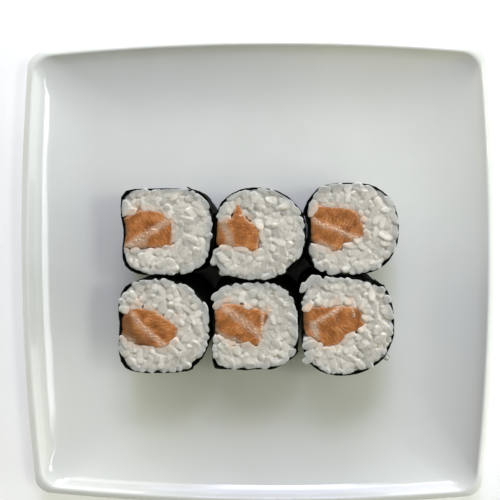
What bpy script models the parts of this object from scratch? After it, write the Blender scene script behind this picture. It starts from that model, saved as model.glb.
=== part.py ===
"""Six salmon maki rolls standing on their cut ends on a square porcelain plate.

Metres, +Z up, with the origin on the table under the middle of the plate's foot. +Y is the far side of the
plate. Each roll is three solids that run through its whole height: a nori sheet wound round it with its end
lapped over its start, a C of rice, and a block of salmon that lies in the C's mouth against the nori.
"""

import math

import bmesh
import bpy
from mathutils import Vector, noise

MM = 0.001
TOUCH_GAP = 0.3 * MM  # between pieces that touch

# ---- The plate, a square coupe dish with bowed sides and soft corners ----
PLATE_WIDTH = 162.4 * MM
PLATE_DEPTH = 160.6 * MM
RIM_BOW = 3.8 * MM  # how far the middle of a side stands out past its ends
RIM_CORNER = 6.0 * MM  # radius of the rim's corners
CORNER_GROWTH = 0.45  # the corners' radius grows by this much of the distance inwards from the rim
SIDE_STEPS = 6
CORNER_STEPS = 5
FLOOR_TOP = 6.2 * MM
FLOOR_HALF = 24.0 * MM  # half width of the dead flat middle
FOOT_HALF = 49.0 * MM
FOOT_WIDTH = 3.6 * MM
FOOT_TAPER = 1.2 * MM
FOOT_RECESS = 2.6 * MM
# The section from the foot's outer edge up the underside, over the lip and down to the floor, as
# (half width of the plate at that height, height), both in millimetres.
OUTER_SECTION = [(50.2, 2.4), (59.5, 3.7), (67.5, 5.5), (73.5, 7.3), (78.0, 9.5), (80.6, 11.8)]
LIP_SECTION = [(81.2, 12.7), (81.0, 13.25), (80.3, 13.5), (79.6, 13.3)]
INNER_SECTION = [(78.2, 12.3), (76.1, 11.2), (73.0, 9.95), (69.0, 8.75), (63.0, 7.45), (56.5, 6.65), (47.0, 6.3)]

# ---- The rolls ----
NORI_THICKNESS = 0.35 * MM
NORI_STEPS = 42
NORI_LAP_STEPS = 5  # how far the sheet's end runs on over its start
NORI_RISE_STEPS = 3  # over how far the end climbs on to the start
NORI_WAVE = 0.35 * MM  # how unevenly the knife left its upper edge
PINCH_SPREAD = 0.42  # how far up and down a roll's salmon side the drawing in reaches, as a sine
RICE_STEPS = 34
RICE_ACROSS = 4
RICE_RELIEF = 0.7 * MM
RICE_PRESSED = 0.6 * MM  # how far below the rest the grains along the nori lie
GRAIN_WIDTH = 3.0 * MM
SHORTEST_RICE = 1.6 * MM  # the C of rice ends where it is thinner than this
SALMON_ROUNDING = 0.9 * MM
SALMON_STEP = 4.0 * MM  # the filling's long sides have a point at least this often
SALMON_CROWN = 0.5 * MM


class Roll:
    """One roll's own sizes, given in millimetres and degrees.

    The outline is a rounded box: half sizes, and a squareness for each corner, from 2 for a round one to 8
    for one that is nearly square. Corners go round from the far right one, anticlockwise from above.
    """

    def __init__(self, name, centre, half, squareness, height, pinch, lap_at, salmon):
        self.name = name
        self.centre = Vector(centre) * MM
        self.half = Vector(half) * MM
        self.squareness = squareness
        self.height = height * MM
        self.pinch = pinch * MM  # how far the salmon's side of the roll is drawn in
        self.lap_at = math.radians(lap_at)  # where round the roll the nori sheet starts
        self.salmon = [Vector(corner) * MM for corner in salmon]  # from the roll's centre

    def edge(self, angle, inward=0.0):
        """The point of the outline at this angle from +X, brought in towards the centre by a distance."""
        c, s = math.cos(angle), math.sin(angle)
        power = self.squareness[int((angle % math.tau) // (math.pi / 2)) % 4]
        x_share, y_share = abs(c) / self.half.x, abs(s) / self.half.y
        reach = (x_share**power + y_share**power) ** (-1.0 / power) - inward
        if c < 0:
            reach += self.pinch * c * math.exp(-((s / PINCH_SPREAD) ** 2))
        return Vector((reach * c, reach * s))

    def filling(self):
        """The salmon's outline: its corners rounded, and no part of it nearer to the nori than the gap."""
        outline = []
        for point in rounded(self.salmon, SALMON_ROUNDING, SALMON_STEP):
            wall = self.edge(math.atan2(point.y, point.x), NORI_THICKNESS + TOUCH_GAP)
            outline.append(wall if point.length > wall.length else point)
        return outline


# The salmon's corners start at the far one on the nori and go round clockwise from above. The two at -16 lie
# past the nori, which trims them.
ROLLS = [
    Roll(
        name="back_left",
        centre=(-28.2, 15.9),
        half=(14.9, 14.1),
        squareness=(3.3, 7.0, 4.3, 2.7),
        height=28.8,
        pinch=1.1,
        lap_at=22,
        salmon=[(-16, 4.5), (-7, 7.6), (-2, 7), (3, 3.6), (2, -5), (-8, -5.2), (-16, -5.4)],
    ),
    Roll(
        name="back_middle",
        centre=(2.2, 15.2),
        half=(14.9, 14.9),
        squareness=(2.1, 2.5, 3.6, 2.15),
        height=29.4,
        pinch=0.5,
        lap_at=200,
        salmon=[(-16, 4), (-9, 5), (-7, 10.6), (-4, 4.4), (1, 2), (-1, -6.4), (-7, -4.6), (-16, -3.6)],
    ),
    Roll(
        name="back_right",
        centre=(32.2, 16.7),
        half=(14.6, 14.9),
        squareness=(2.3, 3.7, 3.8, 2.3),
        height=28.6,
        pinch=0.5,
        lap_at=165,
        salmon=[(-16, 2.4), (-11, 8), (-2, 7.2), (2, 5.4), (4.8, -2), (-2, -5), (-6, -8), (-16, -3)],
    ),
    Roll(
        name="front_left",
        centre=(-29.3, -14.8),
        half=(15.1, 15.5),
        squareness=(2.0, 3.5, 4.3, 2.4),
        height=29.2,
        pinch=0.8,
        lap_at=305,
        salmon=[(-16, 0.5), (-10, 6.7), (-4, 5.8), (5.4, 0), (4, -5), (1, -7.4), (-8, -6.8), (-16, -3.6)],
    ),
    Roll(
        name="front_middle",
        centre=(0.5, -14.6),
        half=(14.0, 14.2),
        squareness=(2.7, 3.5, 8.0, 3.0),
        height=29.0,
        pinch=0.4,
        lap_at=330,
        salmon=[(-16, 4.2), (-9.5, 8), (2, 5.6), (5, 4.8), (2.6, -3), (1, -7), (-8, -5.4), (-16, -1.4)],
    ),
    Roll(
        name="front_right",
        centre=(30.4, -14.9),
        half=(15.2, 15.8),
        squareness=(2.6, 5.0, 2.8, 2.0),
        height=28.9,
        pinch=0.5,
        lap_at=50,
        salmon=[(-16, 5.6), (-6, 7.4), (4.5, 6.6), (6.3, 0), (0, -3), (-2, -6), (-8, -6.8), (-16, 0)],
    ),
]


# ---- Materials ----
def finish(name, colour, roughness):
    """A plain Principled material of something that isn't metal."""
    material = bpy.data.materials.new(name)
    material.use_nodes = True
    shader = material.node_tree.nodes["Principled BSDF"]
    shader.inputs["Base Color"].default_value = (*colour, 1.0)
    shader.inputs["Roughness"].default_value = roughness
    shader.inputs["Metallic"].default_value = 0.0
    return material


# ---- Solids ----
def loft(name, rings, material):
    """One closed solid through rings of equally many points, with a face over the first and the last."""
    bm = bmesh.new()
    loops = [[bm.verts.new(point) for point in ring] for ring in rings]
    for low, high in zip(loops, loops[1:]):
        for i, corner in enumerate(low):
            j = (i + 1) % len(low)
            bm.faces.new((corner, low[j], high[j], high[i]))
    bm.faces.new(reversed(loops[0]))
    bm.faces.new(loops[-1])
    bmesh.ops.recalc_face_normals(bm, faces=bm.faces)
    mesh = bpy.data.meshes.new(name)
    bm.to_mesh(mesh)
    bm.free()
    mesh.shade_smooth()
    mesh.set_sharp_from_angle(angle=math.radians(40))
    mesh.materials.append(material)
    solid = bpy.data.objects.new(name, mesh)
    bpy.context.scene.collection.objects.link(solid)
    return solid


def bowed_square(half, height):
    """A ring of the plate: an arc for each side and one at each corner that touches the arcs beside it."""
    rim_half = PLATE_WIDTH / 2
    bow = RIM_BOW * half / rim_half
    corner = RIM_CORNER + (rim_half - half) * CORNER_GROWTH
    chord_half = half - bow
    radius = (chord_half**2 + bow**2) / (2 * bow)
    centre = half - radius  # the far side's arc is centred on (0, centre), below the middle
    # The far right corner's arc is centred on (t, t), at radius - corner from (0, centre).
    t = (centre + math.sqrt(2 * (radius - corner) ** 2 - centre**2)) / 2
    turn = math.atan2(t, t - centre)  # of the far side's arc, from its middle to the corner's arc
    side = []
    for i in range(SIDE_STEPS):
        angle = turn * (2 * i / SIDE_STEPS - 1)
        side.append((radius * math.sin(angle), centre + radius * math.cos(angle)))
    for i in range(CORNER_STEPS):
        angle = math.pi / 2 - turn + (2 * turn - math.pi / 2) * i / CORNER_STEPS
        side.append((t + corner * math.cos(angle), t + corner * math.sin(angle)))
    ring = []
    for _ in range(4):
        ring += side
        side = [(y, -x) for x, y in side]
    return [Vector((x, y * PLATE_DEPTH / PLATE_WIDTH, height)) for x, y in ring]


def make_plate(glaze):
    """Underside, foot, flared outside, rounded lip, curved inside and flat floor."""
    foot_inner = FOOT_HALF - FOOT_WIDTH
    section = [(foot_inner - FOOT_TAPER, FOOT_RECESS), (foot_inner, 0.0), (FOOT_HALF, 0.0)]
    for half, height in OUTER_SECTION + LIP_SECTION + INNER_SECTION:
        section.append((half * MM, height * MM))
    section.append((FLOOR_HALF, FLOOR_TOP))
    return loft("plate", [bowed_square(half, height) for half, height in section], glaze)


def smooth_step(x):
    x = min(max(x, 0.0), 1.0)
    return x * x * (3 - 2 * x)


def rounded(corners, rounding, step):
    """A polygon's outline in plan, each corner cut to a small arc and each side split at this spacing."""
    arcs = []
    for before, corner, after in zip(corners[-1:] + corners[:-1], corners, corners[1:] + corners[:1]):
        to_before = (before - corner).normalized() * rounding
        to_after = (after - corner).normalized() * rounding
        middle = corner + (to_before + to_after) / 4
        arcs.append([corner + to_before, middle, corner + to_after])
    outline = []
    for arc, following in zip(arcs, arcs[1:] + arcs[:1]):
        outline += arc
        straight = following[0] - arc[-1]
        parts = math.ceil(straight.length / step)
        outline += [arc[-1] + straight * k / parts for k in range(1, parts)]
    return outline


def make_nori(roll, number, skin):
    """The sheet once round the roll and on over its own start, as one band lofted along its length."""
    rings = []
    for i in range(NORI_STEPS + NORI_LAP_STEPS + 1):
        angle = roll.lap_at + math.tau * i / NORI_STEPS
        climbed = smooth_step((i - NORI_STEPS + NORI_RISE_STEPS) / NORI_RISE_STEPS)
        lap = (NORI_THICKNESS + TOUCH_GAP) * climbed
        outside = roll.edge(angle, -lap)
        inside = roll.edge(angle, NORI_THICKNESS - lap)
        along = Vector((math.cos(angle), math.sin(angle), number)) * 2.0
        top = roll.height + NORI_WAVE * noise.noise(along)
        ring = [(outside, 0.0), (outside, top), (inside, top), (inside, 0.0)]
        rings.append([Vector((*flat, height)) for flat, height in ring])
    return loft(f"nori_{roll.name}", rings, skin)


def make_salmon(roll, flesh):
    """The filling: a block with its upper edge eased and its top a little crowned."""
    outline = roll.filling()
    middle = sum(outline, Vector((0, 0))) / len(outline)
    section = [
        (1.0, 0.0),
        (1.0, roll.height - SALMON_CROWN),
        (0.92, roll.height),
        (0.45, roll.height + SALMON_CROWN),
    ]
    rings = []
    for spread, height in section:
        rings.append([Vector((*middle.lerp(point, spread), height)) for point in outline])
    return loft(f"salmon_{roll.name}", rings, flesh)


def crossing(outline, origin, angle):
    """How far from origin, at this angle, a ray leaves a closed plan outline."""
    way = Vector((math.cos(angle), math.sin(angle)))
    furthest = 0.0
    for start, end in zip(outline, outline[1:] + outline[:1]):
        side = end - start
        from_origin = start - origin
        across = way.cross(side)
        if across == 0:
            continue
        if 0 <= from_origin.cross(way) / across <= 1:
            furthest = max(furthest, from_origin.cross(side) / across)
    return furthest


def make_rice(roll, number, grains):
    """The C of rice between salmon and nori, with a top as uneven as grains pressed together."""
    filling = roll.filling()
    middle = sum(filling, Vector((0, 0))) / len(filling)
    turns = [math.tau * i / NORI_STEPS for i in range(NORI_STEPS)]
    wall = [roll.edge(turn, NORI_THICKNESS + TOUCH_GAP) for turn in turns]

    def span(angle):
        """Distances of the salmon and the nori at this angle, clear of the salmon's corners near it."""
        nearby = [angle + math.radians(k) for k in (-8, -4, 0, 4, 8)]
        inner = max(crossing(filling, middle, turn) for turn in nearby)
        return inner + TOUCH_GAP, crossing(wall, middle, angle)

    def opening(sign):
        """The angle at which the rice has thinned to its end, on the sign's side of +X."""
        degrees = 95
        while degrees < 180:
            inner, outer = span(sign * math.radians(degrees + 2))
            if outer - inner < SHORTEST_RICE:
                break
            degrees += 1
        return sign * math.radians(degrees)

    start, end = opening(-1), opening(1)
    rings = []
    for i in range(RICE_STEPS + 1):
        angle = start + (end - start) * i / RICE_STEPS
        inner, outer = span(angle)
        way = Vector((math.cos(angle), math.sin(angle)))
        near, far = middle + way * inner, middle + way * outer
        ring = [Vector((*near, 0.0)), Vector((*far, 0.0))]
        for k in range(RICE_ACROSS + 1):
            flat = far.lerp(near, k / RICE_ACROSS)
            spot = Vector((*flat, number * 9 * GRAIN_WIDTH)) / (GRAIN_WIDTH * 1.3)
            pressed = RICE_PRESSED if k == 0 else 0.0
            ring.append(Vector((*flat, roll.height + RICE_RELIEF * noise.noise(spot) - pressed)))
        rings.append(ring)
    return loft(f"rice_{roll.name}", rings, grains)


def main():
    for leftover in list(bpy.data.objects):
        bpy.data.objects.remove(leftover, do_unlink=True)
    glaze = finish("porcelain_glaze", (0.80, 0.81, 0.79), 0.12)
    skin = finish("nori_sheet", (0.012, 0.016, 0.010), 0.45)
    grains = finish("sushi_rice", (0.70, 0.70, 0.64), 0.4)
    flesh = finish("raw_salmon", (0.62, 0.24, 0.09), 0.35)
    make_plate(glaze)
    for number, roll in enumerate(ROLLS):
        stand = bpy.data.objects.new(f"roll_{roll.name}", None)
        bpy.context.scene.collection.objects.link(stand)
        stand.location = (*roll.centre, FLOOR_TOP + TOUCH_GAP)
        make_nori(roll, number, skin).parent = stand
        make_rice(roll, number, grains).parent = stand
        make_salmon(roll, flesh).parent = stand


main()
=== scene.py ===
"""The looks of the plate of salmon maki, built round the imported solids.

Every outline comes from the frame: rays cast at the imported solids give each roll's nori and salmon in plan, and
the grains, the seaweed sheet and the slice of salmon are made to those. Metres throughout, +Z up.
"""

import math

import bmesh
import bpy
import numpy as np
from mathutils import Euler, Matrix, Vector, noise
from mathutils.bvhtree import BVHTree


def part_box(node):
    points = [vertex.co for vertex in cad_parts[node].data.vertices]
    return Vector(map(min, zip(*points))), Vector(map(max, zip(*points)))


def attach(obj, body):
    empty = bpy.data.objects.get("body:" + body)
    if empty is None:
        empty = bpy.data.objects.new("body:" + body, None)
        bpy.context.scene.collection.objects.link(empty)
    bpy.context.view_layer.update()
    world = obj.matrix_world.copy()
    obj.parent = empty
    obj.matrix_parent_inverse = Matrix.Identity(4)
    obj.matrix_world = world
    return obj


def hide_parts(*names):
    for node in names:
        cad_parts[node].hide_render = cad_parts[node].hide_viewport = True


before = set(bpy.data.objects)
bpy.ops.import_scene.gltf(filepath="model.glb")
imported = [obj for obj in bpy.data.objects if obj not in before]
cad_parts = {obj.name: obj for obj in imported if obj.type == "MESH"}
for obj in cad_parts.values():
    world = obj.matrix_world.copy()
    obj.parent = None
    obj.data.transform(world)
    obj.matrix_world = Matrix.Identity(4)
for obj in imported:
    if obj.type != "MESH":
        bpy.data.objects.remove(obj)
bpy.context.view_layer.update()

MM = 0.001


# ---- Small helpers ----
def smooth(low, high, x):
    """0 below low, 1 above high, and an even curve between, for numbers and arrays."""
    share = np.clip((x - low) / (high - low), 0.0, 1.0)
    return share * share * (3 - 2 * share)


def noise_at(points, size, seed=0.0):
    """Perlin noise, about -1 to 1, at each of the points, with lumps of this size."""
    return np.array([noise.noise(Vector((p[0] / size, p[1] / size, p[2] / size + seed))) for p in points])


def mesh_object(name, points, faces, material):
    mesh = bpy.data.meshes.new(name)
    mesh.from_pydata([tuple(p) for p in points], [], [tuple(int(i) for i in face) for face in faces])
    mesh.validate()
    mesh.shade_smooth()
    piece = bpy.data.objects.new(name, mesh)
    bpy.context.scene.collection.objects.link(piece)
    if material:
        mesh.materials.append(material)
    return piece


def points_of(piece):
    points = np.empty(len(piece.data.vertices) * 3)
    piece.data.vertices.foreach_get("co", points)
    return points.reshape(-1, 3)


def add_attribute(piece, name, values):
    attribute = piece.data.attributes.new(name, "FLOAT", "POINT")
    attribute.data.foreach_set("value", np.asarray(values, np.float32))


def lofted(rings, closed_ends=True):
    """Points and faces through rings of equally many points."""
    count = len(rings[0])
    points = np.concatenate(rings)
    faces = []
    for row in range(len(rings) - 1):
        low, high = row * count, (row + 1) * count
        for i in range(count):
            j = (i + 1) % count
            faces.append((low + i, low + j, high + j, high + i))
    if closed_ends:
        faces.append(tuple(range(count))[::-1])
        faces.append(tuple(range((len(rings) - 1) * count, len(rings) * count)))
    return points, faces


def face_outwards(piece):
    bm = bmesh.new()
    bm.from_mesh(piece.data)
    bmesh.ops.recalc_face_normals(bm, faces=bm.faces)
    bm.to_mesh(piece.data)
    bm.free()


# ---- Materials ----
class Nodes:
    """A material's node tree, with short calls for the nodes that the materials here share."""

    def __init__(self, name):
        self.material = bpy.data.materials.new(name)
        self.material.use_nodes = True
        self.tree = self.material.node_tree
        self.shader = self.tree.nodes["Principled BSDF"]

    def new(self, kind, **settings):
        node = self.tree.nodes.new(kind)
        for key, value in settings.items():
            setattr(node, key, value)
        return node

    def link(self, source, target):
        self.tree.links.new(source, target)

    def set(self, **values):
        for key, value in values.items():
            self.shader.inputs[key.replace("_", " ")].default_value = value

    def position(self):
        return self.new("ShaderNodeNewGeometry").outputs["Position"]

    def attribute(self, name):
        return self.new("ShaderNodeAttribute", attribute_name=name).outputs["Fac"]

    def noise(self, scale, detail=2.0, roughness=0.5, vector=None):
        node = self.new("ShaderNodeTexNoise")
        node.inputs["Scale"].default_value = scale
        node.inputs["Detail"].default_value = detail
        node.inputs["Roughness"].default_value = roughness
        self.link(vector or self.position(), node.inputs["Vector"])
        return node.outputs["Fac"]

    def ramp(self, value, *stops):
        """Colour stops as (place, colour)."""
        node = self.new("ShaderNodeValToRGB")
        elements = node.color_ramp.elements
        while len(elements) < len(stops):
            elements.new(0.5)
        for element, (place, colour) in zip(elements, stops):
            element.position = place
            element.color = (*colour, 1.0) if len(colour) == 3 else colour
        self.link(value, node.inputs["Fac"])
        return node.outputs["Color"]

    def map(self, value, low, high, to_low, to_high):
        node = self.new("ShaderNodeMapRange")
        for socket, number in zip(("From Min", "From Max", "To Min", "To Max"), (low, high, to_low, to_high)):
            node.inputs[socket].default_value = number
        self.link(value, node.inputs["Value"])
        return node.outputs["Result"]

    def mix(self, share, first, second, blend="MIX"):
        """Colours or sockets mixed by a socket or a number."""
        node = self.new("ShaderNodeMix", data_type="RGBA", blend_type=blend)
        for socket, value in zip((node.inputs[0], node.inputs[6], node.inputs[7]), (share, first, second)):
            if isinstance(value, bpy.types.NodeSocket):
                self.link(value, socket)
            elif isinstance(value, tuple):
                socket.default_value = (*value, 1.0)
            else:
                socket.default_value = value
        return node.outputs[2]

    def colour(self, socket):
        self.link(socket, self.shader.inputs["Base Color"])

    def bump(self, height, strength, distance):
        node = self.new("ShaderNodeBump")
        node.inputs["Strength"].default_value = strength
        node.inputs["Distance"].default_value = distance
        self.link(height, node.inputs["Height"])
        self.link(node.outputs["Normal"], self.shader.inputs["Normal"])


def porcelain():
    nodes = Nodes("porcelain_glaze")
    mottle = nodes.noise(60.0)
    nodes.colour(nodes.ramp(mottle, (0.3, (0.775, 0.785, 0.755)), (0.7, (0.80, 0.808, 0.785))))
    nodes.set(Roughness=0.07, IOR=1.5)
    return nodes.material


def floor_paint():
    nodes = Nodes("floor_paint")
    nodes.set(Base_Color=(0.85, 0.85, 0.85, 1), Roughness=0.8)
    nodes.set(Emission_Color=(1, 1, 1, 1), Emission_Strength=0.2)
    return nodes.material


def rice_look():
    """Moist white grains. Grains differ a little and are pinker by the salmon; painted shade greys those against the
    seaweed, darkens the seams between grains and darkens the rice deeper below the cut.
    """
    nodes = Nodes("sushi_rice")
    tint = nodes.attribute("tint")
    plain = nodes.ramp(tint, (0.0, (0.41, 0.39, 0.35)), (0.5, (0.645, 0.605, 0.545)), (1.0, (0.84, 0.79, 0.73)))
    flecks = nodes.map(nodes.noise(1500.0, 3.0, 0.6), 0.35, 0.65, 0.0, 1.0)
    plain = nodes.mix(0.18, plain, nodes.ramp(flecks, (0.0, (0.40, 0.39, 0.34)), (1.0, (0.92, 0.90, 0.84))))
    # Painted shade: grains against the seaweed are greyed, for the shade of its wall and the light lost into the dark
    # sheet.
    nori_shade = nodes.mix(nodes.attribute("nori_shade"), plain, (0.43, 0.44, 0.435))
    by_salmon = nodes.mix(nodes.attribute("by_salmon"), nori_shade, (0.76, 0.55, 0.43))
    # Painted shade: thin darker seams where grains meet.
    crease_shade = nodes.mix(nodes.attribute("crease_shade"), by_salmon, (0.34, 0.33, 0.28))
    # Painted shade: rice more than a millimetre below the cut is darkened towards near black, as in the shadow of the
    # grains above.
    nodes.colour(nodes.mix(nodes.attribute("deep"), crease_shade, (0.10, 0.10, 0.078)))
    nodes.set(Roughness=0.26, IOR=1.4, Subsurface_Weight=0.9, Subsurface_Scale=0.0013)
    nodes.set(Subsurface_Radius=(1.0, 0.95, 0.85))
    nodes.bump(nodes.noise(1700.0, 4.0, 0.6), 0.4, 0.0002)
    return nodes.material


def nori_look():
    """Pressed seaweed: near black with a green cast, fibrous, with a low uneven sheen."""
    nodes = Nodes("nori_sheet")
    fibre = nodes.noise(900.0, 6.0, 0.65)
    patch = nodes.noise(180.0, 3.0)
    dark = nodes.ramp(fibre, (0.3, (0.0018, 0.0022, 0.0012)), (0.75, (0.006, 0.008, 0.004)))
    nodes.colour(nodes.mix(nodes.map(patch, 0.45, 0.7, 0.0, 0.5), dark, (0.011, 0.014, 0.007)))
    nodes.link(nodes.map(fibre, 0.2, 0.8, 0.45, 0.8), nodes.shader.inputs["Roughness"])
    nodes.link(nodes.map(nodes.attribute("free"), 0.0, 1.0, 0.03, 0.2), nodes.shader.inputs["Specular IOR Level"])
    nodes.bump(fibre, 0.5, 0.0003)
    return nodes.material


def salmon_look():
    """Raw salmon: orange muscle in fine fibres, pale along the fat, whitish where rice juice veils it, brown in shade."""
    nodes = Nodes("raw_salmon")
    fibre = nodes.attribute("fibre")
    muscle = nodes.ramp(fibre, (0.0, (0.27, 0.096, 0.027)), (0.5, (0.43, 0.158, 0.044)), (1.0, (0.62, 0.275, 0.102)))
    speckle = nodes.noise(1500.0, 3.0)
    muscle = nodes.mix(nodes.map(speckle, 0.55, 0.8, 0.0, 0.3), muscle, (0.56, 0.26, 0.10))
    rim = nodes.mix(nodes.map(nodes.attribute("rim"), 0.0, 1.0, 0.0, 0.65), muscle, (0.58, 0.37, 0.24))
    # Painted shade: brown marks darken the muscle, the wide ones along the slice's left side where it lies in shadow.
    brown = nodes.mix(nodes.attribute("brown"), rim, (0.23, 0.10, 0.040))
    fat = nodes.mix(nodes.attribute("fat"), brown, (0.66, 0.43, 0.30))
    nodes.colour(nodes.mix(nodes.attribute("veil"), fat, (0.52, 0.39, 0.29)))
    nodes.set(IOR=1.42, Subsurface_Weight=0.6, Subsurface_Scale=0.0010, Subsurface_Radius=(1.0, 0.5, 0.25))
    nodes.link(nodes.map(nodes.attribute("fat"), 0.0, 1.0, 0.24, 0.10), nodes.shader.inputs["Roughness"])
    nodes.bump(nodes.noise(1300.0, 4.0, 0.65), 0.45, 0.0002)
    return nodes.material


# ---- The plate ----
RIM_BOW = 3.8 * MM
RIM_CORNER = 6.0 * MM
CORNER_GROWTH = 0.45
SIDE_STEPS = 70
CORNER_STEPS = 16
# Half width of the plate and height, in millimetres, from inside the foot over the lip to the floor.
FOOT_SECTION = [(44.2, 2.6), (45.2, 0.6), (45.8, 0.0), (48.6, 0.0), (49.2, 0.7), (50.2, 2.4)]
UNDERSIDE = [(50.2, 2.4), (59.5, 3.7), (67.5, 5.5), (73.5, 7.3), (78.0, 9.5), (80.6, 11.8)]
LIP = [(81.15, 12.4), (81.0, 12.9), (80.3, 13.23), (79.5, 13.48), (78.8, 13.36)]
INSIDE = [(78.0, 12.6), (76.1, 11.2), (73.0, 9.95), (69.0, 8.75), (63.0, 7.45), (56.5, 6.65), (47.0, 6.3), (34.0, 6.2)]
SECTION_STEPS = 4
GLAZE_WAVE = 0.045 * MM


def catmull_rom(points, steps):
    """A smooth curve through the points, with so many steps from each to the next."""
    points = [np.array(p, float) for p in points]
    ends = [2 * points[0] - points[1]] + points + [2 * points[-1] - points[-2]]
    curve = []
    for before, start, end, after in zip(ends, ends[1:], ends[2:], ends[3:]):
        for k in range(steps):
            t = k / steps
            curve.append(
                0.5
                * (
                    2 * start
                    + (end - before) * t
                    + (2 * before - 5 * start + 4 * end - after) * t**2
                    + (3 * start - before - 3 * end + after) * t**3
                )
            )
    return curve + [points[-1]]


def bowed_square(half, height, rim_half, depth_share):
    """A ring of the plate: an arc for each side and one at each corner that touches the arcs beside it."""
    bow = RIM_BOW * half / rim_half
    corner = min(RIM_CORNER + (rim_half - half) * CORNER_GROWTH, 0.8 * half)
    chord_half = half - bow
    radius = (chord_half**2 + bow**2) / (2 * bow)
    centre = half - radius
    t = (centre + math.sqrt(2 * (radius - corner) ** 2 - centre**2)) / 2
    turn = math.atan2(t, t - centre)
    side = []
    for i in range(SIDE_STEPS):
        angle = turn * (2 * i / SIDE_STEPS - 1)
        side.append((radius * math.sin(angle), centre + radius * math.cos(angle)))
    for i in range(CORNER_STEPS):
        angle = math.pi / 2 - turn + (2 * turn - math.pi / 2) * i / CORNER_STEPS
        side.append((t + corner * math.cos(angle), t + corner * math.sin(angle)))
    ring = []
    for _ in range(4):
        ring += side
        side = [(y, -x) for x, y in side]
    return np.array([(x, y * depth_share, height) for x, y in ring])


def make_plate(material):
    low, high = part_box("plate")
    rim_half = high.x
    depth_share = high.y / high.x
    section = [np.array(p) for p in FOOT_SECTION]
    section += catmull_rom(UNDERSIDE + LIP + INSIDE, SECTION_STEPS)[1:]
    section += [np.array((20.0, 6.2)), np.array((6.0, 6.2))]
    rings = [bowed_square(half * MM, height * MM, rim_half, depth_share) for half, height in section]
    points, faces = lofted(rings)
    walls = smooth(50 * MM, 66 * MM, np.abs(points[:, :2]).max(1))
    points[:, 2] += noise_at(points, 11 * MM) * GLAZE_WAVE * walls
    plate = mesh_object("plate_glazed", points, faces, material)
    face_outwards(plate)
    plate.data.set_sharp_from_angle(angle=math.radians(35))
    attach(plate, "root")
    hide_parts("plate")


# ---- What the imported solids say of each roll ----
TURNS = 360
ANGLES = np.arange(TURNS) * math.tau / TURNS
EDGE_BELOW_CUT = 0.3 * MM
NORI_THICKNESS = 0.22 * MM
NORI_LEAN = 1.0 * MM
NORI_SAG = 2.2 * MM
NORI_STEPS = 360
NORI_ROWS = 15
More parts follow.
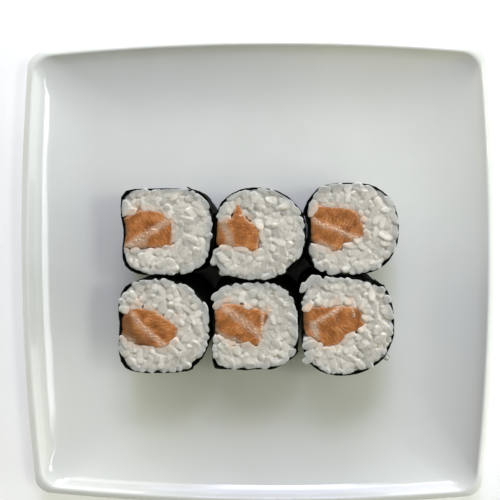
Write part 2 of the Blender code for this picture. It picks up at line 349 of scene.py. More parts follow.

# What is particular to each roll. Places are millimetres from the roll's centre at the cut, turns are degrees.
#   fat, veil, brown: lines on the salmon, each (width, points...); brown darkens, as painted shade along the slice's
#       left side; fibres: the way its fibres run
#   spilt: grains that lie over the seaweed, each (x, y, turn, height above the cut)
#   sunk: places where the rice is low, each (x, y, radius, depth)
#   stain: places where the salmon shows through the rice, each (x, y, radius)
#   swell: where the rice swells out over the seaweed, each (turn, spread, reach)
#   edge: where the seaweed's top stands out, each (turn, spread, rise, reach)
ROLLS = {
    "back_left": {
        "fat": [(1.6, (-13.8, -5.4), (-9.5, -2.6), (-5.6, -0.5), (0.6, 3.6))],
        "veil": [(2.6, (-13.0, -5.8), (-8.5, -3.6))],
        "brown": [(3.6, (-14.4, 3.5), (-14.4, -5.5)), (1.0, (-8.6, 8.9), (-8.4, 8.6))],
        "fibres": 118,
        "spilt": [(10.8, 10.4, -40, -0.2)],
        "sunk": [(-13.2, 12.3, 3.0, 2.4), (-13.8, -7.0, 1.7, 1.3), (-6.7, 13.5, 0.9, 1.4), (1.6, 13.0, 0.8, 1.2),
                 (6.2, 13.2, 1.1, 1.6), (9.5, -11.4, 1.3, 1.2)],
        "stain": [(-9.5, 7.6, 2.1), (-12.5, 5.2, 1.2)],
        "swell": [(35, 45, 1.0)],
        "edge": [(137, 10, 0.5, 0.2), (95, 14, 0.2, 0.1), (42, 12, 0.1, 0.5)],
    },
    "back_middle": {
        "fat": [(0.5, (-6.3, 5.9), (-5.2, 6.3)), (0.6, (-7.0, -4.6), (-3.0, -5.6))],
        "veil": [(1.7, (-11.6, 3.6), (-9.9, 0.0), (-8.9, -5.0))],
        "brown": [(3.4, (-14.6, 3.5), (-14.0, -5.0))],
        "fibres": 15,
        "spilt": [(-13.0, -5.6, 20, 0.2), (-14.7, -8.0, 70, 0.0), (-12.0, -9.8, -35, 0.1), (-11.0, -12.2, 10, -0.2),
                  (-12.6, -7.2, 120, 0.6)],
        "sunk": [(-14.2, -4.2, 0.9, 1.6), (2.6, 12.2, 0.8, 1.0), (11.6, -7.0, 1.2, 1.2)],
        "stain": [(-10.0, 4.5, 1.6), (-3.0, 5.4, 1.4)],
        "swell": [(150, 40, 0.3)],
        "edge": [(216, 12, -0.2, 0.9), (180, 10, -0.3, 0.1)],
    },
    "back_right": {
        "fat": [(1.15, (-13.6, 3.5), (-9.9, 1.4), (-5.0, -0.2), (-0.9, -2.3), (2.8, -2.7))],
        "veil": [(1.6, (-10.5, -4.6), (-6.5, -6.6))],
        "brown": [(1.3, (3.6, 0.0), (4.5, -2.0)), (3.2, (-14.6, 2.0), (-14.4, -4.5))],
        "fibres": 62,
        "spilt": [(-12.8, -6.4, 80, 0.1), (-6.0, -13.6, 15, -0.1)],
        "sunk": [(4.1, -12.8, 1.2, 1.5), (10.2, -10.6, 1.3, 1.8), (12.9, -0.2, 0.9, 1.4), (12.4, 4.0, 0.8, 0.9),
                 (-11.2, 10.6, 1.4, 0.9)],
        "stain": [(-11.4, 7.0, 1.5), (3.5, 3.5, 1.6)],
        "swell": [(180, 30, 0.3)],
        "edge": [(163, 11, 0.2, 1.0), (150, 8, 0.1, 0.5), (318, 12, 0.1, 0.1)],
    },
    "front_left": {
        "fat": [(1.35, (-10.3, 3.9), (-7.7, 0.2), (-3.6, -3.3), (0.1, -6.5))],
        "veil": [(2.2, (-13.5, -4.4), (-11.0, -5.4))],
        "brown": [(5.0, (-13.2, 1.5), (-11.4, -3.8), (-6.5, -6.8)), (1.1, (5.1, 1.7), (5.8, -0.6))],
        "fibres": 10,
        "spilt": [(8.0, 11.6, -35, 0.0), (13.0, 6.0, -65, -0.1)],
        "sunk": [(-11.9, 12.7, 1.6, 2.2), (-12.2, -11.2, 1.2, 1.8), (8.6, -12.9, 1.3, 1.6), (-9.0, -12.9, 1.0, 1.3),
                 (-14.6, 4.0, 0.9, 1.0), (6.3, -3.0, 0.8, 0.8)],
        "stain": [(-8.5, 8.2, 1.8), (4.2, 3.6, 1.4)],
        "swell": [(45, 45, 0.9)],
        "edge": [(134, 8, 0.1, 0.2), (225, 10, 0.3, 0.3), (180, 16, 0.2, 0.0)],
    },
    "front_middle": {
        "fat": [(1.8, (-11.7, 6.9), (-7.6, 4.0), (-3.5, 1.1), (0.6, -2.6)), (0.7, (2.3, 5.6), (1.6, -5.0))],
        "veil": [(1.8, (-13.2, -2.2), (-9.6, -4.4), (-6.0, -5.4))],
        "brown": [(1.3, (3.6, 3.0), (2.9, -3.2)), (3.0, (-14.2, 2.5), (-13.6, -3.0))],
        "fibres": 35,
        "spilt": [(-12.6, 9.8, 30, 0.0), (-1.8, -12.9, 10, 0.1), (-8.0, -12.4, -60, 0.0), (3.2, -12.4, 70, 0.0)],
        "sunk": [(-5.6, -12.6, 1.3, 1.6), (1.2, -13.3, 0.9, 1.4), (7.4, -12.2, 1.4, 1.6), (11.8, -6.8, 1.2, 1.3),
                 (-12.6, -10.6, 1.6, 1.0), (12.0, 9.0, 0.9, 0.8)],
        "stain": [(4.4, 5.8, 1.5), (-9.0, 8.8, 1.6), (-8.0, -6.8, 1.5)],
        "swell": [(90, 55, 1.0)],
        "edge": [(226, 8, 0.4, 0.9), (255, 12, 0.3, 0.4), (290, 10, 0.2, 0.3), (330, 10, 0.1, 0.3)],
    },
    "front_right": {
        "fat": [(1.1, (-0.2, 7.8), (-4.0, 4.8), (-8.9, 1.9), (-11.3, 0.2)), (0.6, (1.5, 5.5), (2.0, 3.2))],
        "veil": [(1.7, (-11.0, 0.6), (-10.0, -3.6))],
        "brown": [(3.0, (-15.0, 4.0), (-13.6, 0.5))],
        "fibres": 128,
        "spilt": [(-14.4, 12.8, 75, 0.2), (-12.2, 14.6, 60, 0.3), (-9.6, 15.0, 85, 0.1), (-6.6, 14.6, 70, 0.0),
                  (12.2, -10.3, -35, -1.1), (-12.6, -11.0, 35, 0.0)],
        "sunk": [(-8.2, 13.2, 0.7, 1.8), (3.5, 14.6, 1.6, 1.2), (12.6, 7.4, 1.0, 1.2), (13.4, 1.0, 0.8, 1.0),
                 (-11.5, -11.8, 1.1, 1.4), (4.0, -14.2, 1.0, 1.2)],
        "stain": [(-12.5, 6.0, 1.6), (1.0, 8.6, 1.8), (-3.5, 8.6, 1.5)],
        "swell": [(100, 50, 0.9)],
        "edge": [(62, 16, 0.2, 0.3), (318, 9, 0.2, 0.2), (255, 20, 0.2, 0.2)],
    },
}


def tree_of(node):
    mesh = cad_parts[node].data
    return BVHTree.FromPolygons([v.co for v in mesh.vertices], [p.vertices for p in mesh.polygons])


def around(values, angles):
    """Values given at ANGLES, read at any angles."""
    return np.interp(np.mod(angles, math.tau), np.append(ANGLES, math.tau), np.append(values, values[0]))


def turned(degrees):
    return np.array((math.cos(math.radians(degrees)), math.sin(math.radians(degrees))))


class Roll:
    """A roll's plan outlines, as distances at each of ANGLES, and the height of its cut."""

    def __init__(self, name, number):
        self.name = name
        self.number = number
        self.traits = ROLLS[name]
        low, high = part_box(f"nori_{name}")
        self.centre = (low + high) / 2
        self.floor = low.z
        self.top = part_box(f"rice_{name}")[1].z - 0.4 * MM
        nori = tree_of(f"nori_{name}")
        self.inner, self.outer = np.empty(TURNS), np.empty(TURNS)
        far = 40 * MM
        for i, angle in enumerate(ANGLES):
            way = Vector((math.cos(angle), math.sin(angle), 0))
            self.inner[i] = nori.ray_cast(self.centre, way)[3]
            self.outer[i] = far - nori.ray_cast(self.centre + way * far, -way)[3]
        low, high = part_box(f"salmon_{name}")
        self.heart = (low + high) / 2
        salmon = tree_of(f"salmon_{name}")
        self.salmon = np.empty(TURNS)
        for i, angle in enumerate(ANGLES):
            way = Vector((math.cos(angle), math.sin(angle), 0))
            self.salmon[i] = far - salmon.ray_cast(self.heart + way * far, -way)[3]
        thick = self.outer - self.inner > 0.8 * MM
        starts = [i for i in range(TURNS) if thick[i] and not thick[i - 1]]
        self.lap_start = ANGLES[starts[0]] if starts else 0.0
        self.lap = np.count_nonzero(thick) * math.tau / TURNS
        self.edge = np.empty(TURNS)
        self.flare = np.empty(TURNS)
        self.swell = np.empty(TURNS)
        self.lean = np.empty(TURNS)
        self.free = np.empty(TURNS)
        beside, across = self.neighbours()
        for i, angle in enumerate(ANGLES):
            place = Vector((math.cos(angle) * 2.6, math.sin(angle) * 2.6, number * 7.0))
            ragged = noise.noise(place) * 0.35 + noise.noise(place * 4.0) * 0.16 + noise.noise(place * 12.0) * 0.14
            rise, reach = 0.0, 0.0
            for turn, spread, up, out in self.traits["edge"]:
                off = (math.degrees(angle) - turn + 180) % 360 - 180
                share = math.exp(-((off / spread) ** 2))
                rise += up * share
                reach += out * share
            self.edge[i] = self.top - EDGE_BELOW_CUT + (ragged + rise) * MM
            self.flare[i] = (0.12 + reach) * MM
            pressed = max(smooth(0.8, 0.95, math.cos(angle - way)) for way in beside)
            open_gap = max(smooth(0.86, 0.97, math.cos(angle - way)) for way in across)
            self.lean[i] = NORI_LEAN * (1 - max(pressed, open_gap)) - NORI_SAG * open_gap
            self.free[i] = 1 - max(smooth(0.35, 0.75, math.cos(angle - way)) for way in beside)
            self.swell[i] = 0.45 * MM
            for turn, spread, out in self.traits["swell"]:
                off = (math.degrees(angle) - turn + 180) % 360 - 180
                self.swell[i] += out * MM * math.exp(-((off / spread) ** 2))

    def neighbours(self):
        """Directions to the rolls that press on this one, and across the gaps between four rolls."""
        beside, across = [], []
        for name in ROLLS:
            low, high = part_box(f"nori_{name}")
            way = (low + high) / 2 - self.centre
            reach = math.hypot(way.x, way.y)
            if 0 < reach < 36 * MM:
                beside.append(math.atan2(way.y, way.x))
            elif 0 < reach < 50 * MM:
                across.append(math.atan2(way.y, way.x))
        return beside, across

    def wall_gap(self, x, y):
        """Distance inwards from the seaweed's inside, at plan points from the row's origin."""
        dx, dy = x - self.centre.x, y - self.centre.y
        return around(self.inner, np.arctan2(dy, dx)) - np.hypot(dx, dy)

    def salmon_gap(self, x, y):
        """Distance outwards from the salmon's side."""
        dx, dy = x - self.heart.x, y - self.heart.y
        return np.hypot(dx, dy) - around(self.salmon, np.arctan2(dy, dx))

    def plan(self, points):
        return points[:, :2] - np.array(self.centre[:2])

    def lean_at(self, angle, height):
        """How far inwards the seaweed stands at these heights."""
        share = np.clip((height - self.floor) / (around(self.edge, angle) - self.floor), 0, 1)
        return around(self.lean, angle) * (1 - share) ** 0.8

    def held_in(self, co, gap):
        """Draws points in until they are this far inside the seaweed, which leans and bends."""
        flat = self.plan(co)
        angle = np.arctan2(flat[:, 1], flat[:, 0])
        reach = np.hypot(flat[:, 0], flat[:, 1])
        limit = around(self.inner, angle) - np.clip(self.lean_at(angle, co[:, 2]), 0, None) - gap
        co[:, :2] = np.array(self.centre[:2]) + flat * np.minimum(1, limit / np.maximum(reach, 1e-6))[:, None]


# ---- Rice ----
GRAIN_RADIUS = 1.18 * MM
GRAIN_HALF = 1.5 * MM
GRAINS = 215
VOXEL = 0.22 * MM
FILL_DEPTH = 0.9 * MM
CREASE_SHARE = 0.45
CRUST = 4.6 * MM
GRAIN_RINGS = 14
GRAIN_SIDES = 18
PACKING_ROUNDS = 80
PACKING_DEPTH = 3.1 * MM
PACKED_SHARE = 0.74
NARROWEST = 1.5 * MM
CORE_DEPTH = 4.0 * MM
CORE_INSET = 0.13
WALL_GAP = 0.12 * MM


def pack_grains(roll, rng):
    """Grains pressed into the C near the cut: centres, directions, half lengths, radii, and how many aren't spilt."""
    centres = []
    low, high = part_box(f"nori_{roll.name}")
    while len(centres) < GRAINS:
        x, y = rng.uniform(low.x, high.x), rng.uniform(low.y, high.y)
        if roll.wall_gap(x, y) > 0.3 * MM and roll.salmon_gap(x, y) > -0.1 * MM:
            centres.append((x, y, roll.top - rng.uniform(0.5 * MM, PACKING_DEPTH)))
    centres = np.array(centres)
    ways = rng.normal(size=(GRAINS, 3)) * (1.0, 1.0, 0.45)
    ways /= np.linalg.norm(ways, axis=1, keepdims=True)
    halves = GRAIN_HALF * rng.uniform(0.45, 1.3, GRAINS)
    radii = GRAIN_RADIUS * rng.uniform(0.82, 1.14, GRAINS)
    owner = np.repeat(np.arange(GRAINS), 3)
    along = np.tile((-1.0, 0.0, 1.0), GRAINS)
    reach = radii[owner] * PACKED_SHARE
    apart = owner[:, None] != owner[None, :]
    for _ in range(PACKING_ROUNDS):
        beads = centres[owner] + ways[owner] * (along * halves[owner])[:, None]
        offset = beads[:, None] - beads[None]
        distance = np.linalg.norm(offset, axis=2) + 1e-9
        overlap = np.clip(reach[:, None] + reach[None] - distance, 0, None) * apart
        push = (offset / distance[..., None] * overlap[..., None]).sum(1) * 0.28
        to_wall = beads[:, :2] - np.array(roll.centre[:2])
        to_wall /= np.linalg.norm(to_wall, axis=1, keepdims=True) + 1e-9
        push[:, :2] -= to_wall * np.clip(0.3 * radii[owner] - roll.wall_gap(*beads.T[:2]), 0, None)[:, None]
        from_heart = beads[:, :2] - np.array(roll.heart[:2])
        from_heart /= np.linalg.norm(from_heart, axis=1, keepdims=True) + 1e-9
        near = np.clip(-0.15 * radii[owner] - roll.salmon_gap(*beads.T[:2]), 0, None)
        push[:, :2] += from_heart * near[:, None]
        push[:, 2] -= np.clip(beads[:, 2] - (roll.top - 0.5 * radii[owner]), 0, None)
        push[:, 2] += np.clip(roll.top - PACKING_DEPTH - beads[:, 2], 0, None)
        by_grain = push.reshape(GRAINS, 3, 3)
        centres += by_grain.mean(1)
        ways += (by_grain[:, 2] - by_grain[:, 0]) / (2 * halves[:, None]) * 0.8
        ways /= np.linalg.norm(ways, axis=1, keepdims=True)
    room = roll.wall_gap(*centres.T[:2]) + roll.salmon_gap(*centres.T[:2])
    kept = room > NARROWEST
    centres, ways, halves, radii = centres[kept], ways[kept], halves[kept], radii[kept]
    packed = len(centres)
    for x, y, turn, lift in roll.traits["spilt"]:
        place = np.array((roll.centre.x + x * MM, roll.centre.y + y * MM, roll.top + (lift - 0.7) * MM))
        centres = np.vstack([centres, place])
        ways = np.vstack([ways, (*turned(turn), rng.uniform(-0.25, 0.25))])
        halves = np.append(halves, GRAIN_HALF * rng.uniform(0.75, 1.1))
        radii = np.append(radii, GRAIN_RADIUS * rng.uniform(0.85, 1.0))
    ways /= np.linalg.norm(ways, axis=1, keepdims=True)
    return centres, ways, halves, radii, packed


def sunken(roll, centres):
    """How far each grain lies lower where the rice has sunk or a crumb has come away."""
    drop = np.zeros(len(centres))
    flat = roll.plan(centres)
    for x, y, radius, depth in roll.traits["sunk"]:
        away = np.hypot(flat[:, 0] - x * MM, flat[:, 1] - y * MM)
        drop += 0.75 * depth * MM * (1 - smooth(0.4, 1.15, away / (radius * MM)))
    return drop


def grain_shape():
    """Points and faces of a closed ball of unit radius, which each grain stretches."""
    rings, sides = GRAIN_RINGS, GRAIN_SIDES
    points = [(0.0, 0.0, -1.0)]
    for i in range(1, rings):
        turn = math.pi * i / rings
        for k in range(sides):
            angle = math.tau * k / sides
            points.append((math.sin(turn) * math.cos(angle), math.sin(turn) * math.sin(angle), -math.cos(turn)))
    points.append((0.0, 0.0, 1.0))
    faces = []
    for k in range(sides):
        faces.append((0, 1 + (k + 1) % sides, 1 + k))
    for i in range(rings - 2):
        for k in range(sides):
            a, b = 1 + i * sides + k, 1 + i * sides + (k + 1) % sides
            faces.append((a, b, b + sides, a + sides))
    last = len(points) - 1
    for k in range(sides):
        faces.append((last, last - sides + k, last - sides + (k + 1) % sides))
    return np.array(points), faces


def grain_points(shape, centre, way, half, radius, bend, blunt):
    """The ball stretched along the grain's direction, bent a little, with one blunt end where it was cut."""
    side = np.cross(way, (0.0, 0.0, 1.0))
    side /= np.linalg.norm(side)
    up = np.cross(side, way)
    x, y, z = shape.T
    girth = np.abs(1 - np.abs(z) ** 3.2) ** 0.5 / np.maximum(np.sqrt(1 - z**2), 1e-6)
    girth = np.where(np.abs(z) > 0.999, 0.0, girth) * (1 - 0.1 * z)
    along = np.minimum(z * (half + radius * 0.85), blunt * (half + radius * 0.85))
    offset = bend * (z**2 - 0.4) * radius
    return (
        centre
        + np.outer(along, way)
        + np.outer(x * radius * girth * 1.06 + offset, side)
        + np.outer(y * radius * girth * 0.9, up)
    )


def roughened(points, centre, seed):
    """A grain's points moved in and out by its dents and the starch that sticks to it."""
    dents = noise_at(points, 1.5 * MM, seed) * 0.16 + np.abs(noise_at(points, 0.62 * MM, seed + 4.0)) * 0.11
    return points + (points - centre) * np.clip(dents, -0.25, 0.25)[:, None]


def flattened(points, centre, cut, tilt):
    """A grain's points pressed down to the plane it was cut along."""
    plane = cut + (points[:, :2] - centre[:2]) @ tilt
    above = np.clip(points[:, 2] - plane, 0, None)
    points[:, 2] -= above * 0.8
    return points


def core_solid(roll, top, inset):
    """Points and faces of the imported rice, cut down to this height and drawn in from its walls by a share."""
    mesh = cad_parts[f"rice_{roll.name}"].data
    points = np.array([v.co for v in mesh.vertices])
    points[:, 2] = np.minimum(points[:, 2], top)
    middle = points[:, :2].mean(0)
    points[:, :2] += (middle - points[:, :2]) * inset
    return points, [tuple(p.vertices) for p in mesh.polygons]


def remeshed(name, points, faces):
    """The solid that the overlapping closed shapes make together, as an even mesh."""
    raw = mesh_object(name + "_raw", points, faces, None)
    remesh = raw.modifiers.new("fuse", "REMESH")
    remesh.mode = "VOXEL"
    remesh.voxel_size = VOXEL
    remesh.use_smooth_shade = True
    relax = raw.modifiers.new("relax", "SMOOTH")
    relax.factor = 0.5
    relax.iterations = 3
    graph = bpy.context.evaluated_depsgraph_get()
    mesh = bpy.data.meshes.new_from_object(raw.evaluated_get(graph))
    bpy.data.objects.remove(raw)
    piece = bpy.data.objects.new(name, mesh)
    mesh.name = name
    bpy.context.scene.collection.objects.link(piece)
    return piece


def nearest_grains(co, centres, ways, halves, radii):
    """For each point the grain it belongs to, and by how much the next grain is farther."""
    shares = (-1.0, -0.5, 0.0, 0.5, 1.0)
    beads = np.concatenate([centres + ways * (halves * s)[:, None] for s in shares])
    count = len(centres)
    owner = np.empty(len(co), int)
    margin = np.empty(len(co))
    for part in np.array_split(np.arange(len(co)), max(1, len(co) // 4000)):
        distance = np.linalg.norm(co[part, None] - beads[None], axis=2) - np.tile(radii, len(shares))[None]
        by_grain = distance.reshape(len(part), len(shares), count).min(1)
        order = np.partition(by_grain, 1, axis=1)
        owner[part] = by_grain.argmin(1)
        margin[part] = order[:, 1] - order[:, 0]
    return owner, margin


def within_wall(roll, co, loose):
    """Keeps the grains inside the seaweed below its edge, and lets them swell over it above."""
    flat = roll.plan(co)
    angle = np.arctan2(flat[:, 1], flat[:, 0])
    reach = np.hypot(flat[:, 0], flat[:, 1])
    over = smooth(-0.5 * MM, 0.25 * MM, co[:, 2] - around(roll.edge, angle))
    bulge = around(roll.swell, angle) * over - WALL_GAP * (1 - over)
    bulge -= np.clip(roll.lean_at(angle, co[:, 2]), 0, None)
    too_far = np.clip(reach - around(roll.inner, angle) - bulge, 0, None)
    too_far[loose] *= 0.15
    keep = 1 - too_far / np.maximum(reach, 1e-6)
    co[:, :2] = np.array(roll.centre[:2]) + flat * keep[:, None]


def stuck_together(roll, co):
    """Fills the shallow creases between grains, as starch does, and leaves the deep gaps."""
    depth = roll.top - co[:, 2]
    filled = depth * (CREASE_SHARE + (1 - CREASE_SHARE) * smooth(0.6 * MM, 1.5 * MM, depth))
    crumbs = np.abs(noise_at(co, 0.75 * MM, roll.number + 2.0)) * 0.06 * MM
    co[:, 2] = np.where(depth > 0, roll.top - filled, co[:, 2]) - crumbs * smooth(-2.5 * MM, -1.5 * MM, -depth)


def make_rice(roll, material):
    rng = np.random.default_rng(700 + roll.number)
    centres, ways, halves, radii, packed = pack_grains(roll, rng)
    centres[:, 2] -= sunken(roll, centres)
    count = len(centres)
    cuts = roll.top - rng.uniform(-0.05, 0.35, count) * MM
    tilts = rng.normal(size=(count, 2)) * 0.14
    shape, shape_faces = grain_shape()
    points, faces = [], []
    for n in range(count):
        bend, blunt = rng.uniform(-0.3, 0.3), rng.choice((1.0, 1.0, 0.55, 0.75))
        grain = grain_points(shape, centres[n], ways[n], halves[n], radii[n], bend, blunt)
        grain = roughened(grain, centres[n], float(n))
        grain = flattened(grain, centres[n], cuts[n] + max(0.0, centres[n][2] - roll.top + 0.5 * MM), tilts[n])
        points.append(grain)
        faces += [tuple(n * len(shape) + i for i in face) for face in shape_faces]
    co = np.concatenate(points)
    within_wall(roll, co, np.repeat(np.arange(count), len(shape)) >= packed)
    fill, fill_faces = core_solid(roll, roll.top - FILL_DEPTH, 0.02)
    fill[:, 2] = np.maximum(fill[:, 2], roll.top - CRUST)
    roll.held_in(fill, 2 * WALL_GAP)
    faces += [tuple(len(co) + i for i in face) for face in fill_faces]
    piece = remeshed(f"rice_{roll.name}_grains", np.concatenate([co, fill]), faces)
    co = points_of(piece)
    owner, margin = nearest_grains(co, centres, ways, halves, radii)
    stuck_together(roll, co)
    piece.data.vertices.foreach_set("co", co.ravel())
    piece.data.update()
    depth = roll.top - co[:, 2]
    wall = roll.wall_gap(co[:, 0], co[:, 1])
    filling = roll.salmon_gap(co[:, 0], co[:, 1])
    flat = roll.plan(co)
    stain = np.zeros(len(co))
    for x, y, radius in roll.traits["stain"]:
        stain += 1 - smooth(0.3, 1.3, np.hypot(flat[:, 0] - x * MM, flat[:, 1] - y * MM) / (radius * MM))
    cloudy = noise_at(co, 5 * MM, roll.number + 20.0)
    tints = np.clip(rng.normal(0.55, 0.2, count), 0, 1)
    add_attribute(piece, "tint", np.clip(tints[owner] + cloudy * 0.15, 0, 1))
    # Painted shade greying the grains near the seaweed.
    add_attribute(piece, "nori_shade", (1 - smooth(0.2 * MM, (2.6 + 1.4 * cloudy) * MM, wall)) * 0.75)
    add_attribute(piece, "by_salmon", np.clip((1 - smooth(0.0, 1.8 * MM, filling)) * 0.5 + stain * 0.5, 0, 0.9))
    # Painted shade along the seams between grains.
    add_attribute(piece, "crease_shade", (1 - smooth(0.0, 0.8 * MM, margin)) * 0.24)
    # Painted shade that grows with depth below the cut.
    add_attribute(piece, "deep", smooth(0.8 * MM, 2.0 * MM, depth))
    piece.data.materials.append(material)
    piece.data.shade_smooth()
    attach(piece, "root")
    body, body_faces = core_solid(roll, roll.top - CORE_DEPTH, CORE_INSET)
    roll.held_in(body, 3 * WALL_GAP)
    base = mesh_object(f"rice_{roll.name}_core", body, body_faces, material)
    # Painted shade: the core is coloured all over with the near black of the rice's depths.
    for name, value in (("tint", 0.5), ("nori_shade", 0.0), ("by_salmon", 0.0), ("crease_shade", 0.0), ("deep", 1.0)):
        add_attribute(base, name, np.full(len(body), value))
    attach(base, "root")
    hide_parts(f"rice_{roll.name}")
    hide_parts(f"rice_{roll.name}")


# ---- Nori ----


def make_nori(roll, material):
    """The sheet once round the roll and over its own start, wrinkled, with a ragged upper edge."""
    lap_steps = int(NORI_STEPS * roll.lap / math.tau)
    columns = NORI_STEPS + lap_steps + 1
    outside, inside = [], []
    for i in range(columns):
        angle = roll.lap_start + math.tau * i / NORI_STEPS
        climbed = float(smooth(NORI_STEPS - 14, NORI_STEPS + 2, i))
        middle = float(around(roll.inner, angle)) + 0.11 * MM + climbed * (NORI_THICKNESS + 0.12 * MM)
        way = (math.cos(angle), math.sin(angle))
        edge = Vector((way[0] * 9.0, way[1] * 9.0, roll.number * 3.0 + climbed * 5.0))
        top = float(around(roll.edge, angle)) + climbed * noise.noise(edge) * 0.5 * MM
        loose = float(smooth(columns - 9, columns - 1, i))
        for k in range(NORI_ROWS):
            share = (k / (NORI_ROWS - 1)) ** 0.75
            height = roll.floor + (top - roll.floor) * share
            place = Vector((way[0] * 2.2, way[1] * 2.2, height / (6 * MM) + roll.number * 5.0 + climbed))
            wrinkle = noise.noise(place) * 0.28 * MM + noise.noise(place * 3.1) * 0.13 * MM
            flare = float(around(roll.flare, angle)) * share**5 + loose * (0.15 + 0.5 * share**3) * MM
            lean = float(roll.lean_at(angle, height))
            reach = middle + max(wrinkle, -0.06 * MM) + flare - lean
            for side, sheet in ((0.5, outside), (-0.5, inside)):
                r = reach + side * NORI_THICKNESS
                sheet.append((roll.centre.x + way[0] * r, roll.centre.y + way[1] * r, height))
    points = outside + inside
    half = len(outside)
    rows = NORI_ROWS
    faces = []
    for i in range(columns - 1):
        for k in range(rows - 1):
            a = i * rows + k
            faces.append((a, a + rows, a + rows + 1, a + 1))
            faces.append((half + a, half + a + 1, half + a + rows + 1, half + a + rows))
        low, high = i * rows, i * rows + rows - 1
        faces.append((low, half + low, half + low + rows, low + rows))
        faces.append((high, high + rows, half + high + rows, half + high))
    for k in range(rows - 1):
        last = (columns - 1) * rows + k
        faces.append((k, k + 1, half + k + 1, half + k))
        faces.append((last, half + last, half + last + 1, last + 1))
    piece = mesh_object(f"nori_{roll.name}_sheet", points, faces, material)
    face_outwards(piece)
    flat = roll.plan(np.array(points))
    deep = smooth(0.5 * MM, 3.0 * MM, roll.top - np.array(points)[:, 2])
    add_attribute(piece, "free", around(roll.free, np.arctan2(flat[:, 1], flat[:, 0])) * deep)
    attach(piece, "root")
    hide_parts(f"nori_{roll.name}")


# ---- Salmon ----
SALMON_AROUND = 260
SALMON_ACROSS = 48
DROP_SPACING = 1.0 * MM
DROP_RADIUS = 0.38 * MM
DROP_HEIGHT = 0.2 * MM
LOOSE_DROPS = 22


def marked(flat, marks, jitter, spread=1.0):
    """How strongly soft-edged lines mark each plan point, 0 to 1. Their widths are times the spread."""
    strength = np.zeros(len(flat))
    for width, *line in marks:
        nearest = np.full(len(flat), 1.0)
        for start, end in zip(line, line[1:]):
            start, end = np.array(start) * MM, np.array(end) * MM
            way = end - start
            share = np.clip(((flat - start) @ way) / (way @ way), 0, 1)
            nearest = np.minimum(nearest, np.linalg.norm(flat - start - share[:, None] * way, axis=1))
        away = np.clip(nearest + jitter * min(width, 1.5), 0, None)
        strength = np.maximum(strength, 1 - smooth(0.12, 0.95, away / (spread * width * MM)))
    return strength


def wet_drops(roll, flat):
    """Height of the small wet beads that stand along the fat."""
    rng = np.random.default_rng(300 + roll.number)
    height = np.zeros(len(flat))
    for width, *line in roll.traits["fat"]:
        for start, end in zip(line, line[1:]):
            start, end = np.array(start) * MM, np.array(end) * MM
            count = int(np.linalg.norm(end - start) / DROP_SPACING)
            for k in range(count):
                place = start + (end - start) * (k + rng.uniform(0.2, 0.8)) / count
                place += rng.normal(size=2) * width * 0.22 * MM
                away = np.linalg.norm(flat - place, axis=1) / (DROP_RADIUS * rng.uniform(0.7, 1.2))
                height = np.maximum(height, DROP_HEIGHT * np.clip(1 - away**2, 0, 1))
    heart = np.array(roll.heart[:2]) - np.array(roll.centre[:2])
    for _ in range(LOOSE_DROPS):
        place = heart + rng.normal(size=2) * np.array((4.0, 2.6)) * MM
        away = np.linalg.norm(flat - place, axis=1) / (DROP_RADIUS * rng.uniform(0.5, 0.9))
        height = np.maximum(height, 0.7 * DROP_HEIGHT * np.clip(1 - away**2, 0, 1))
    return height


def make_salmon(roll, material):
    turns = np.arange(SALMON_AROUND) * math.tau / SALMON_AROUND
    uneven = [noise.noise(Vector((math.cos(a) * 5, math.sin(a) * 5, roll.number * 3.0))) for a in turns]
    reach = around(roll.salmon, turns) + (0.2 + 0.6 * np.array(uneven)) * MM
    plan = np.stack([np.cos(turns), np.sin(turns)], 1)
    heart = np.array(roll.heart[:2])
    top = roll.top + 0.05 * MM
    rings = []
    for height, share in ((roll.floor, 0.78), (top - 6 * MM, 0.93), (top - 2.6 * MM, 0.99), (top - 1.5 * MM, 1.0)):
        rings.append(np.column_stack([heart + plan * (reach * share)[:, None], np.full(SALMON_AROUND, height)]))
    for k in range(SALMON_ACROSS):
        share = 1 - k / SALMON_ACROSS
        eased = 1.1 * MM * math.exp(-k / 2.6)
        rings.append(np.column_stack([heart + plan * (reach * share)[:, None], np.full(SALMON_AROUND, top - eased)]))
    points, faces = lofted(rings)
    roll.held_in(points, 2 * WALL_GAP)
    flat = roll.plan(points)
    jitter = noise_at(points, 1.4 * MM, roll.number) * 0.3 * MM + noise_at(points, 0.5 * MM, 3.0) * 0.12 * MM
    fat = marked(flat, roll.traits["fat"], jitter, 1.35) * (0.75 + noise_at(points, 1.8 * MM, 7.0) * 0.35)
    veil = marked(flat, roll.traits["veil"], jitter, 1.25) * (0.7 + noise_at(points, 1.2 * MM, 5.0) * 0.4)
    # Mask of the brown marks, painted shade along the slice's left side.
    brown = marked(flat, roll.traits["brown"], jitter)
    way = turned(roll.traits["fibres"])
    across, along = flat @ np.array((-way[1], way[0])), flat @ way
    lines = np.stack([across / (0.5 * MM), along / (2.2 * MM), np.full(len(flat), roll.number * 3.0)], 1)
    broad = noise_at(points, 3.2 * MM, roll.number + 11.0)
    fibre = noise_at(lines, 1.0) * 0.45 + broad * 0.7
    near_top = smooth(-1.5 * MM, -0.9 * MM, points[:, 2] - top)
    grit = noise_at(points, 0.6 * MM, 2.0) * 0.06
    points[:, 2] += near_top * (fibre * 0.10 + fat * 0.10 + grit + noise_at(points, 3 * MM, 9.0) * 0.22) * MM
    points[:, 2] += near_top * wet_drops(roll, flat)
    piece = mesh_object(f"salmon_{roll.name}_slice", points, faces, material)
    face_outwards(piece)
    rim = 1 - smooth(-0.2 * MM, 1.5 * MM, -roll.salmon_gap(points[:, 0], points[:, 1]))
    add_attribute(piece, "fibre", np.clip(0.5 + fibre, 0, 1))
    add_attribute(piece, "fat", np.clip(fat, 0, 1))
    add_attribute(piece, "veil", np.clip(veil, 0, 1))
    add_attribute(piece, "rim", rim)
    add_attribute(piece, "brown", brown)
    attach(piece, "root")
    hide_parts(f"salmon_{roll.name}")


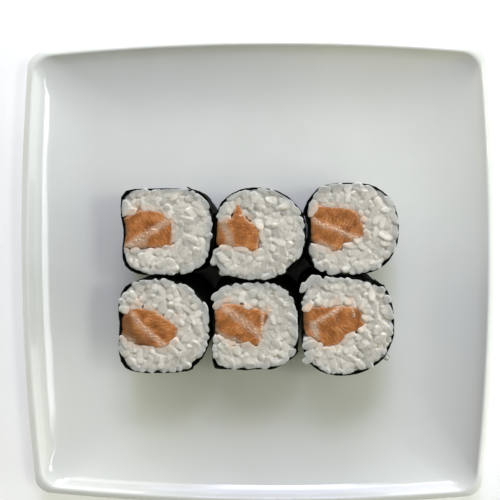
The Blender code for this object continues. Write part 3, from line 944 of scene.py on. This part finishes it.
# ---- Stage ----
def make_floor(material):
    half = 1.6
    corners = [(-half, -half, 0), (half, -half, 0), (half, half, 0), (-half, half, 0)]
    floor = mesh_object("floor", corners, [(0, 1, 2, 3)], material)
    floor.location.z = -0.2 * MM


SKY_DISTANCE = 1.6
# Soft windows round the plate: azimuth from +X, from and to; height above the plate, from and to, in degrees;
# and brightness in red, green and blue. The two narrow bright ones throw the shadows and shine in the glaze.
WINDOWS = {
    "far_bright": (87.0, 97.0, 45.0, 62.0, (11.0, 11.5, 16.0)),
    "far_side": (70.0, 86.0, 46.0, 54.0, (14.0, 14.0, 15.5)),
    "far_low": (76.0, 97.0, 24.0, 46.0, (2.8, 2.9, 4.8)),
    "far_faint": (98.0, 112.0, 46.0, 60.0, (3.3, 3.1, 3.1)),
    "right_bright": (5.0, 22.0, 58.0, 66.0, (19.0, 19.5, 17.0)),
    "right_line": (-27.0, 5.0, 62.0, 67.0, (7.0, 7.4, 7.4)),
    "right_trees": (-40.0, 5.0, 44.0, 60.0, (0.75, 0.95, 0.5)),
    "low_far": (67.0, 157.0, 4.0, 22.0, (5.5, 5.7, 4.9)),
    "low_corner": (22.0, 67.0, 4.0, 22.0, (4.4, 4.7, 4.6)),
    "low_right": (-22.0, 22.0, 6.0, 42.0, (2.3, 2.35, 2.2)),
    "low_near": (292.0, 337.0, 4.0, 22.0, (2.6, 2.5, 1.4)),
    "left": (157.0, 202.0, 22.0, 42.0, (0.6, 0.5, 0.1)),
}
WIDEST_PANE = 46.0


def make_window(name, turn, span, low, high, radiance):
    """One rectangular pane that faces the plate."""
    middle = math.radians((low + high) / 2)
    brightest = max(radiance)
    light = bpy.data.lights.new(name, "AREA")
    light.shape = "RECTANGLE"
    light.size = 2 * SKY_DISTANCE * math.tan(math.radians(span / 2)) * math.cos(middle)
    light.size_y = 2 * SKY_DISTANCE * math.tan(math.radians((high - low) / 2))
    light.energy = math.pi * light.size * light.size_y * brightest
    light.color = [share / brightest for share in radiance]
    lamp = bpy.data.objects.new(name, light)
    turn = math.radians(turn)
    way = Vector((math.cos(turn) * math.cos(middle), math.sin(turn) * math.cos(middle), math.sin(middle)))
    lamp.location = way * SKY_DISTANCE + Vector((0, 0, 20 * MM))
    lamp.rotation_euler = (-way).to_track_quat("-Z", "Y").to_euler()
    lamp.visible_camera = False
    bpy.context.scene.collection.objects.link(lamp)


def make_lights():
    world = bpy.data.worlds.new("room")
    bpy.context.scene.world = world
    world.use_nodes = True
    world.node_tree.nodes["Background"].inputs["Color"].default_value = (1.0, 0.97, 0.9, 1)
    world.node_tree.nodes["Background"].inputs["Strength"].default_value = 0.06
    for name, (start, end, low, high, radiance) in WINDOWS.items():
        panes = math.ceil((end - start) / WIDEST_PANE)
        span = (end - start) / panes
        for k in range(panes):
            make_window(f"window_{name}_{k + 1}", start + span * (k + 0.5), span, low, high, radiance)


def make_camera():
    camera = bpy.data.cameras.new("camera")
    camera.sensor_width = 36.0
    camera.lens = 81.65
    camera.clip_start = 0.01
    eye = bpy.data.objects.new("camera", camera)
    eye.location = (0.0164, 0.0361, 0.400)
    eye.rotation_euler = Euler([math.radians(a) for a in (-4.1, 2.7, -0.28)])
    bpy.context.scene.collection.objects.link(eye)
    bpy.context.scene.camera = eye


def main():
    bpy.context.scene.view_settings.view_transform = "Standard"
    make_plate(porcelain())
    rice, nori, salmon = rice_look(), nori_look(), salmon_look()
    for number, name in enumerate(ROLLS):
        roll = Roll(name, number)
        make_nori(roll, nori)
        make_salmon(roll, salmon)
        make_rice(roll, rice)
    make_floor(floor_paint())
    make_lights()
    make_camera()


main()
